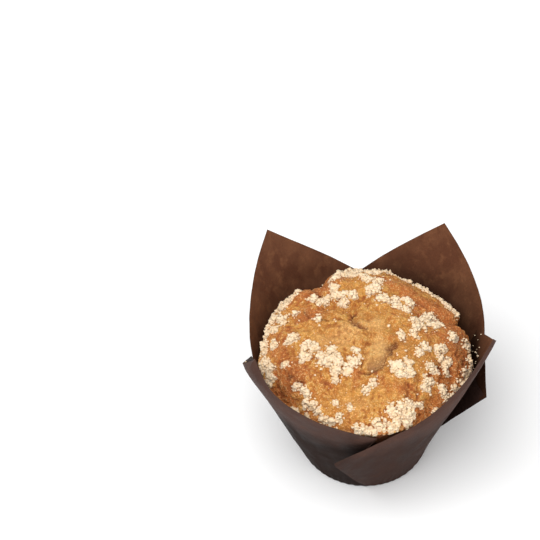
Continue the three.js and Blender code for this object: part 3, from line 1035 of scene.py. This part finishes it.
def crust_under(x, y):
    """The point of the finished crust under a place in plan, and its normal, in millimetres."""
    above = Vector((x * MM, y * MM, ABOVE_ALL))
    found, point, normal, _ = crust.ray_cast(above, Vector((0, 0, -1)))
    return (point / MM, normal) if found else (None, None)


def add_grain(x, y, radius, lift, places):
    point, normal = crust_under(*stay_on_crust(x, y))
    if point is not None:
        places.append((point + normal * radius * lift, radius))


for x, y, middle in grain_places:
    radius = draw.uniform(*GRAIN_RADII) * mix(*BIGGER_INSIDE, middle)
    add_grain(x, y, radius, draw.uniform(*GRAIN_LIFTS), grains)
    if draw.random() < SECOND_LAYER * smooth(middle * 2):
        add_grain(x, y, radius * SECOND_SIZE, draw.uniform(*SECOND_LIFTS), grains)
for x, y in edge_grains:
    add_grain(x, y, draw.uniform(*EDGE_RADII), draw.uniform(*EDGE_LIFTS), grains)
print("grains", len(grains))

# %% Scatter single grains and dust, and stray crumbs on the paper
LOOSE_GRAINS = 90
LOOSE_OUT = (0.02, 0.97)
LOOSE_RADII = (0.28, 0.55)
LOOSE_LIFT = 0.4
BARE_PATCH_SIZE = 9
DUST = 800
DUST_RADII = (0.13, 0.3)
DUST_LIFT = 0.3
DUST_SPREADS = (1.1, 2.6)
# Crumbs fallen between crust and paper: their number, azimuths, heights and radii
STRAY = 26
STRAY_AZIMUTHS = (-8, 4, 10, 178, 183, -78)
STRAY_SPREAD = 7
STRAY_HEIGHTS = (46, 55)
STRAY_RADII = (0.2, 0.42)
dust = []

for _ in range(LOOSE_GRAINS):
    azimuth = draw.uniform(0, 360)
    spot = polar(rim_radius(azimuth) * math.sqrt(draw.uniform(*LOOSE_OUT)), azimuth, 0)
    if unevenness(spot.x, spot.y, 0, BARE_PATCH_SIZE) > 0:
        add_grain(spot.x, spot.y, draw.uniform(*LOOSE_RADII), LOOSE_LIFT, grains)
for _ in range(DUST):
    x, y, _ = draw.choice(grain_places)
    spread = draw.choice(DUST_SPREADS)
    x += draw.gauss(0, spread)
    y += draw.gauss(0, spread)
    add_grain(x, y, draw.uniform(*DUST_RADII), DUST_LIFT, dust)
for _ in range(STRAY):
    azimuth = draw.choice(STRAY_AZIMUTHS) + draw.uniform(-STRAY_SPREAD, STRAY_SPREAD)
    centre = Vector((0, 0, draw.uniform(*STRAY_HEIGHTS) * MM))
    found, point, _, _ = paper.ray_cast(centre, polar(1, azimuth, 0))
    if found:
        radius = draw.uniform(*STRAY_RADII)
        dust.append((point / MM + polar(-radius, azimuth, 0), radius))
print("loose grains and dust", len(grains), len(dust))


# %% Join the copies into one mesh for each kind
GRAIN_WIDTHS = (0.8, 1.3)
GRAIN_HEIGHTS = (0.5, 0.75)


def joined_copies(name, places, variants):
    points = []
    faces = []
    for centre, radius in places:
        shape, shape_faces = variants[draw.randrange(len(variants))]
        turn = Matrix.Rotation(draw.uniform(0, 2 * math.pi), 3, "Z")
        turn = turn @ Matrix.Rotation(draw.uniform(0, 2 * math.pi), 3, "X")
        wide = draw.uniform(*GRAIN_WIDTHS)
        deep = draw.uniform(*GRAIN_WIDTHS)
        squash = Matrix.Diagonal((wide, deep, draw.uniform(*GRAIN_HEIGHTS)))
        first = len(points)
        for corner in shape:
            points.append((centre + squash @ (turn @ corner) * radius) * MM)
        faces.extend(tuple(first + i for i in face) for face in shape_faces)
    mesh = bpy.data.meshes.new(name)
    mesh.from_pydata(points, [], faces)
    piece = bpy.data.objects.new(name, mesh)
    scene.collection.objects.link(piece)
    make_active(piece)
    bpy.ops.object.shade_smooth()
    print(name, triangles(piece), "triangles")
    return piece


crumble = joined_copies("crumble_heaps", grains, grain_variants)
flour = joined_copies("crumble_dust", dust, dust_variants)

# %% [markdown]
# ## Finishes
#
# Brown baking paper is dull, with a faint sheen where it is seen at a low angle, and short fibres
# show in it. Inside it is warmer, and butter has left blotches in it. Low in the cup it is darker
# on both sides, partly from butter and partly as painted shade, and inside, close to the crust, it
# carries painted shadow. One function makes the finish of the outside, the inside and the cut edge,
# because they are the same paper in other tones.

# %% Paper
INSIDE = linear(112, 73, 51)
INSIDE_DARK = linear(94, 58, 41)
BUTTER_SPOT = linear(134, 90, 62)
OUTSIDE = linear(79, 57, 50)
OUTSIDE_DARK = linear(68, 49, 43)
CUT_EDGE = linear(74, 54, 44)


def paper_finish(name, light, dark, spots, sheen, darkened_by):
    finish = Finish(name)
    butter_and_shade_share = finish.attribute(darkened_by)
    cloud = finish.speckle(12, 3, 0.6, (1, 1, 0.6)).between(0.36, 0.64)
    fibre = finish.speckle(0.7, 3, 0.7, (1, 1, 0.5))
    colour = finish.blend(cloud, dark, light)
    blotch = finish.speckle(4.5, 4, 0.65).between(0.48, 0.72) * spots
    colour = finish.blend(blotch, colour, BUTTER_SPOT)
    # Darker where the vertices say: partly butter, partly painted shade, and painted shadow close
    # to the crust
    colour = finish.shade(colour, (0.82 + 0.36 * fibre) * (1 - 0.64 * butter_and_shade_share))
    finish.set(Base_Color=colour, Roughness=0.55 + 0.2 * cloud, Specular_IOR_Level=sheen)
    finish.relief(fibre, 0.00012)
    return finish.material


# Light and dark tone, share of butter spots, sheen, and the attribute that darkens it by butter and
# painted shade
PAPER_FINISHES = (
    ("paper_outside", OUTSIDE, OUTSIDE_DARK, 0.08, 0.04, "butter_and_shade_outside"),
    ("paper_inside", INSIDE, INSIDE_DARK, 0.5, 0.06, "butter_and_shade_inside"),
    ("paper_edge", CUT_EDGE, CUT_EDGE, 0.0, 0.1, "butter_and_shade_outside"),
)
for number, recipe in enumerate(PAPER_FINISHES):
    paper.data.materials[number] = paper_finish(*recipe)
print("paper finishes", [each.name for each in paper.data.materials])

# %% [markdown]
# The crust is golden, with paler places where the dome rose last, and brown where the oven caught
# it and towards the rim, most of all on the right. The creases between its crumbs are painted
# darker and redder, and the cracks a deep brown, as painted shade. The tops of the crumbs are
# paler, a painted highlight, among pale sugar specks. The smooth slab and a thin line along the
# lowest edge of the rim are pale, and so is the crust under the crumble. A picture could be painted
# on instead, but these colours follow the relief, so they stay right when it changes.

# %% Crust
GOLDEN = linear(222, 160, 78)
TOASTED = linear(200, 129, 54)
BROWN = linear(192, 110, 48)
CRACK_SHADE_BROWN = linear(112, 54, 26)
CREASE_SHADE_BROWN = linear(150, 80, 44)
PALE = linear(242, 202, 140)
PEACH = linear(234, 176, 104)
CREAM = linear(249, 224, 190)
BUTTERY = linear(242, 208, 164)
SIDE = linear(120, 68, 38)

finish = Finish("baked_crust")
rim = finish.attribute("rim")
fine_form = finish.attribute("fine")
broad = finish.speckle(11, 3, 0.6)
middling = finish.speckle(3.2, 3, 0.6)
grainy = finish.speckle(0.9, 3, 0.7).between(0.3, 0.7)
sugar = finish.speckle(0.45, 2, 0.6).between(0.3, 0.7)
browned = finish.attribute("browned")
# Toast leans browner where the fine relief is low: partly random tone, partly painted shade in the
# creases
toast_and_crease_shade = (broad + 0.9 * middling - 0.6 * fine_form).between(0.68, 1.15)
colour = finish.blend(toast_and_crease_shade, GOLDEN, TOASTED)
colour = finish.blend((0 - browned).between(0.1, 0.9) * 0.75, colour, PEACH)
# Browning also leans browner in the creases: painted shade there, real browning elsewhere
browning_and_crease_shade = (browned + 1.1 * middling - 0.5 * fine_form).between(0.62, 1.45)
colour = finish.blend(browning_and_crease_shade, colour, BROWN)
# Creases between the crumbs darker and redder: painted crease shade
colour = finish.blend((0 - fine_form).between(0.05, 0.6) * 0.62, colour, CREASE_SHADE_BROWN)
# Cracks darkened to deep brown: painted shade in the cracks
colour = finish.blend(finish.attribute("torn").between(0.4, 1.9) * 0.8, colour, CRACK_SHADE_BROWN)
colour = finish.blend(finish.attribute("slab") * 0.22, colour, PALE)
# Crumb tops paler from the fine relief: a painted highlight; the sugar speckle in it is pale sugar
colour = finish.blend((sugar + 0.6 * fine_form).between(0.55, 1.05) * 0.55, colour, PALE)
pale_rim = (rim + 0.03 * middling).between(0.985, 1.005)
colour = finish.blend(pale_rim * (0.65 - 0.6 * browning_and_crease_shade), colour, PALE)
colour = finish.blend(finish.attribute("side"), colour, SIDE)
colour = finish.blend(finish.attribute("heap").between(0.3, 0.75) * 0.95, colour, CREAM)
colour = finish.shade(colour, 0.77 + 0.36 * grainy)
finish.set(Base_Color=colour, Roughness=0.7 - 0.15 * browning_and_crease_shade, Specular_IOR_Level=0.3)
finish.set(Subsurface_Weight=0.1, Subsurface_Radius=(1.0, 0.5, 0.2), Subsurface_Scale=0.001)
finish.relief(0.6 * grainy + 0.4 * sugar, 0.00035)
crust.data.materials.clear()
crust.data.materials.append(finish.material)
print("crust finish", finish.material.name)


# %% Crumble
def crumble_finish(name, light, deep):
    finish = Finish(name)
    tone = finish.speckle(2.2, 2, 0.5).between(0.4, 0.75)
    floury = finish.speckle(0.4, 3, 0.7)
    colour = finish.blend(tone, light, deep)
    colour = finish.shade(colour, 0.9 + 0.2 * floury)
    finish.set(Base_Color=colour, Roughness=0.85, Specular_IOR_Level=0.2)
    finish.set(Subsurface_Weight=0.08, Subsurface_Radius=(1.0, 0.8, 0.6), Subsurface_Scale=0.0004)
    finish.relief(floury, 0.0003)
    return finish.material


crumble.data.materials.append(crumble_finish("baked_crumble", CREAM, BUTTERY))
flour.data.materials.append(crumble_finish("crumble_flour", CREAM, CREAM))
print("crumble finishes done")

# %% [markdown]
# ## Tell the frame what rides where
#
# Nothing here moves, so every piece rides on the one body. The sheet stands for the paper's
# solid, and the crust for the muffin's. The crumble has a finish of its own.

# %% Ride and replace
for piece in (paper, crust, crumble, flour):
    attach(piece, "root")
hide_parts("paper_case")
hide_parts("muffin")
print("pieces", [piece.name for piece in (paper, crust, crumble, flour)])

# %% [markdown]
# ## Floor and light
#
# A white table, a broad soft light above, a little to the left and in front, a weaker and lower
# one from the front right, and pale air all round, so that shadows stay soft and the dark paper
# still shows its shape. Standard colour keeps the white ground white.

# %% Floor
FLOOR_SIDE = 6

deselect_all()
bpy.ops.mesh.primitive_plane_add(size=FLOOR_SIDE)
floor = bpy.context.object
floor.name = "floor"
white = Finish("white_floor")
white.set(Base_Color=(0.95, 0.95, 0.95, 1), Roughness=0.9, Specular_IOR_Level=0.1)
floor.data.materials.append(white.material)
print("floor", FLOOR_SIDE, "m wide")

# %% Lights
# Where each hangs and how wide it is, in metres, and its power in watts
LIGHTS = (
    ("overhead", (-0.4, -0.4, 1.1), 1.3, 15.5),
    ("from_right", (1.0, -0.8, 0.45), 0.8, 4.5),
)
AIR_GLOW = 0.55


def soft_light(name, place, size, power):
    data = bpy.data.lights.new(name, "AREA")
    data.shape = "DISK"
    data.size = size
    data.energy = power
    lamp = bpy.data.objects.new(name, data)
    lamp.location = place
    lamp.rotation_euler = (-Vector(place)).to_track_quat("-Z", "Y").to_euler()
    scene.collection.objects.link(lamp)


for light in LIGHTS:
    soft_light(*light)
world = bpy.data.worlds.new("pale_air")
world.use_nodes = True
glow = world.node_tree.nodes["Background"]
glow.inputs["Color"].default_value = (1, 1, 1, 1)
glow.inputs["Strength"].default_value = AIR_GLOW
scene.world = world
scene.view_settings.view_transform = "Standard"
print("lights", [light[0] for light in LIGHTS])
